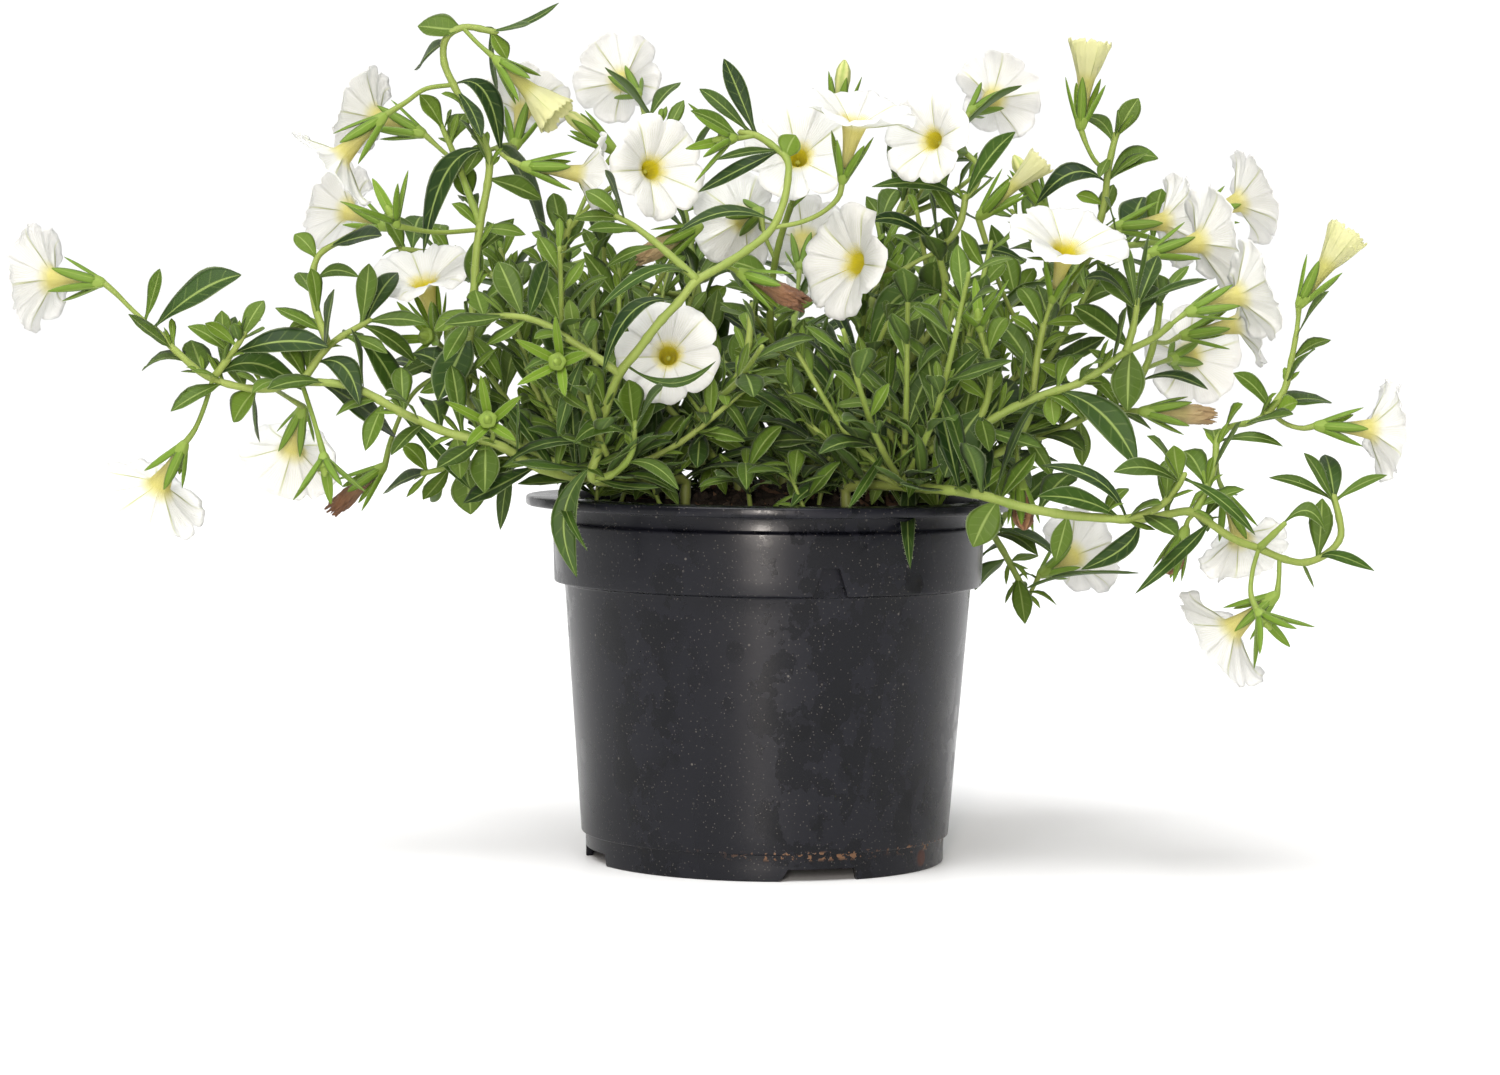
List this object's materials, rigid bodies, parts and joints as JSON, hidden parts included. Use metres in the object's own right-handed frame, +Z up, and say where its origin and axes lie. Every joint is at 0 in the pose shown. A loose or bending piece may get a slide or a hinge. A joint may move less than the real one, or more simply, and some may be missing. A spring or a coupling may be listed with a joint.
{
  "type": "potted calibrachoa plant",
  "caption": "Trailing calibrachoa with white funnel flowers and narrow green leaves, growing in a round black plastic nursery pot.",
  "frame": {"origin": "centre of the pot's foot, on the surface that it stands on", "axes": "+Z up along the pot's axis, -Y towards the side with most flowers, +X to the right seen from there"},
  "size_m": [0.3609, 0.2362, 0.2289],
  "materials": {
    "pot_plastic": "black-charcoal moulded plastic with a soft sheen and water marks",
    "soil": "dark damp peat and bark",
    "foliage": "soft green leaves and pale yellow-green downy stems",
    "petal": "thin white petals with a yellow throat",
    "petal_pale": "half open pale yellow petals",
    "petal_withered": "faded and dried petals, cream to brown"
  },
  "bodies": {
    "root": {"pot": "pot_plastic", "soil": "soil", "stem_far_left": "foliage", "stem_tall_left": "foliage", "stem_front": "foliage", "stem_centre": "foliage", "stem_front_right": "foliage", "stem_centre_right": "foliage", "stem_right_upright": "foliage", "stem_right_low": "foliage", "stem_top_right": "foliage", "stem_high_right": "foliage", "stem_left_middle": "foliage", "stem_centre_left": "foliage", "stem_centre_back": "foliage", "stem_back_right": "foliage", "stem_back_right_inner": "foliage", "stem_back_right_low": "foliage", "stem_back_middle": "foliage", "stem_back_left_inner": "foliage", "stem_back_left": "foliage", "bloom_far_left": "petal", "bloom_left_low": "petal", "bloom_left_hanging": "petal", "bloom_left_high": "petal", "bloom_left_behind": "petal", "trumpet_left": "petal_pale", "bloom_left_back": "petal", "bloom_left_side": "petal", "bloom_top_middle": "petal", "bloom_dried_middle": "petal_withered", "bloom_centre": "petal", "bloom_right_front": "petal", "bloom_right_high": "petal", "bloom_big_middle": "petal", "bloom_right_middle": "petal", "bloom_far_right": "petal", "trumpet_right": "petal_pale", "bloom_right_hanging": "petal", "bloom_right_low": "petal", "trumpet_top_right": "petal_pale", "bloom_right_side": "petal", "trumpet_small": "petal_pale", "bloom_far_right_high": "petal", "bloom_right_second": "petal", "bloom_right_below": "petal", "bloom_faded_right": "petal_withered", "bloom_left_middle": "petal", "bloom_dried_left": "petal_withered", "bloom_middle_left": "petal", "bloom_faded_middle": "petal_withered", "bloom_middle": "petal", "bloom_shaded": "petal", "bloom_back_right": "petal", "bloom_back_right_inner": "petal", "bloom_back_right_low": "petal", "bloom_back_middle": "petal", "bloom_back_middle_second": "petal", "bloom_back_left_inner": "petal", "bloom_back_left": "petal"}
  },
  "joints": []
}
